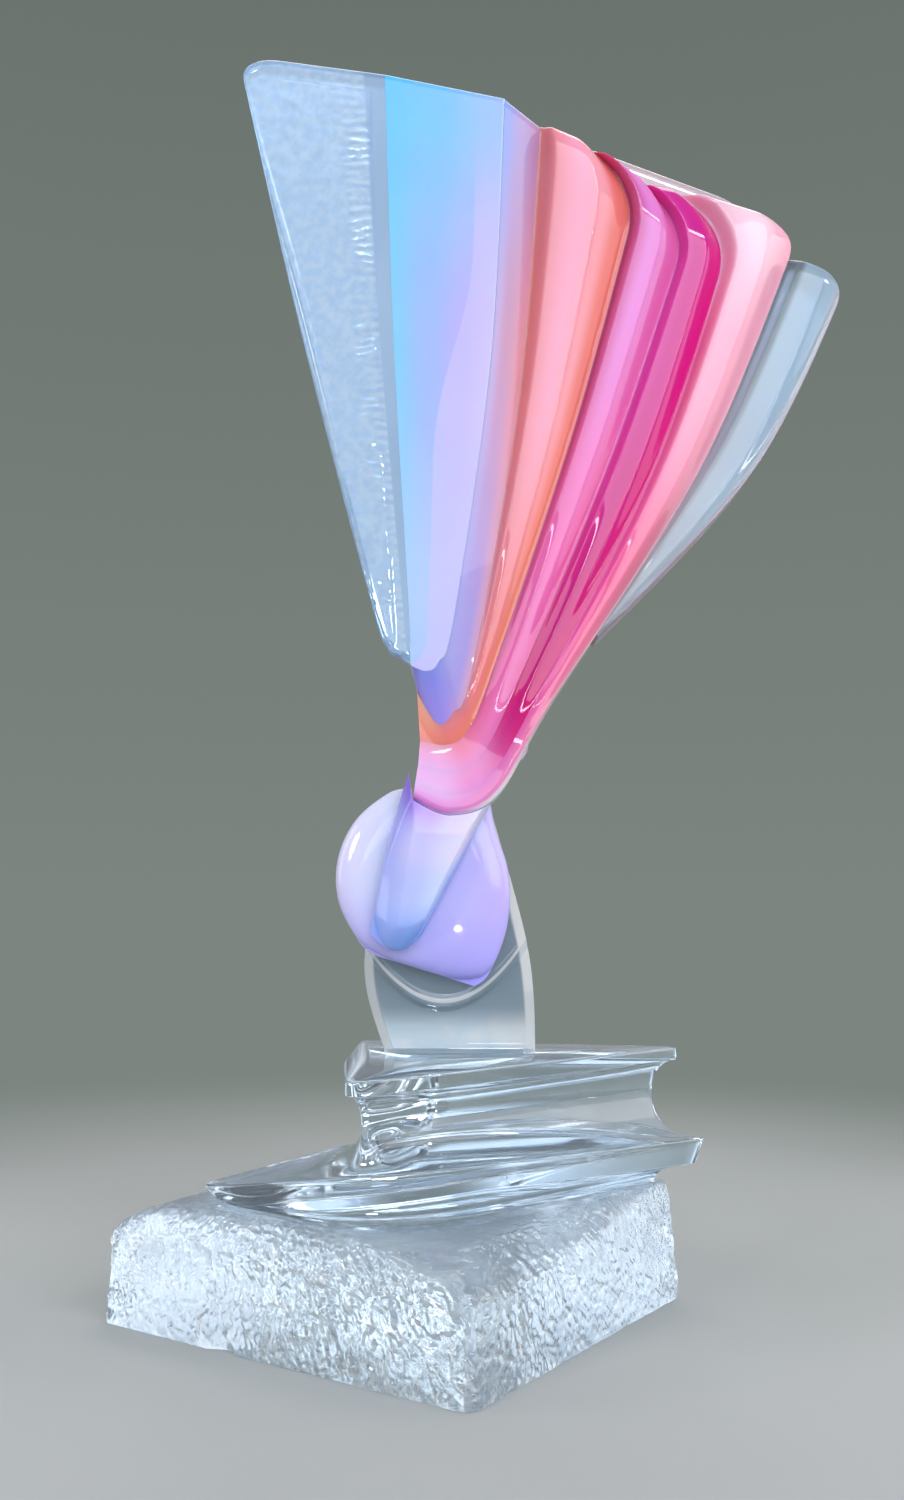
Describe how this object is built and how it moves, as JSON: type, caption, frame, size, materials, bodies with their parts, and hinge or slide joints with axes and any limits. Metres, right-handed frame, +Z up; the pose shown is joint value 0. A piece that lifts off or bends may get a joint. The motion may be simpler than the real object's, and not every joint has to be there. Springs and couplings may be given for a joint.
{
  "type": "acrylic fan sculpture",
  "caption": "Free-standing tabletop sculpture: a fluted fan of bonded clear and coloured acrylic layers on a lavender disc, a clear stem and a carved clear base.",
  "frame": {"origin": "centre of the base's flat underside", "axes": "+Z up; +X to the viewer's right in the front view; +Y away from the viewer, so the carved face of the fan looks along -Y"},
  "size_m": [0.3532, 0.2556, 0.5838],
  "materials": {
    "frosted_acrylic": "rough-hewn clear acrylic, frosted by tool marks",
    "clear_acrylic": "polished clear acrylic",
    "lavender_acrylic": "polished translucent lavender acrylic",
    "deep_lavender_acrylic": "polished lavender acrylic",
    "blue_acrylic": "polished sky-blue acrylic",
    "coral_acrylic": "polished coral acrylic",
    "orchid_acrylic": "polished orchid-pink acrylic",
    "magenta_acrylic": "polished magenta acrylic",
    "rose_acrylic": "polished rose acrylic"
  },
  "bodies": {
    "root": {"foot_block": "frosted_acrylic", "swept_tier": "clear_acrylic", "top_plate": "clear_acrylic", "stem": "clear_acrylic", "lavender_disc": "deep_lavender_acrylic", "root_wedge": "lavender_acrylic", "clear_left_blade": "clear_acrylic", "blue_blade": "blue_acrylic", "lavender_blade": "lavender_acrylic", "coral_blade": "coral_acrylic", "orchid_blade": "orchid_acrylic", "magenta_blade": "magenta_acrylic", "rose_blade": "rose_acrylic", "clear_right_blade": "clear_acrylic", "clear_backing": "clear_acrylic"}
  },
  "joints": []
}
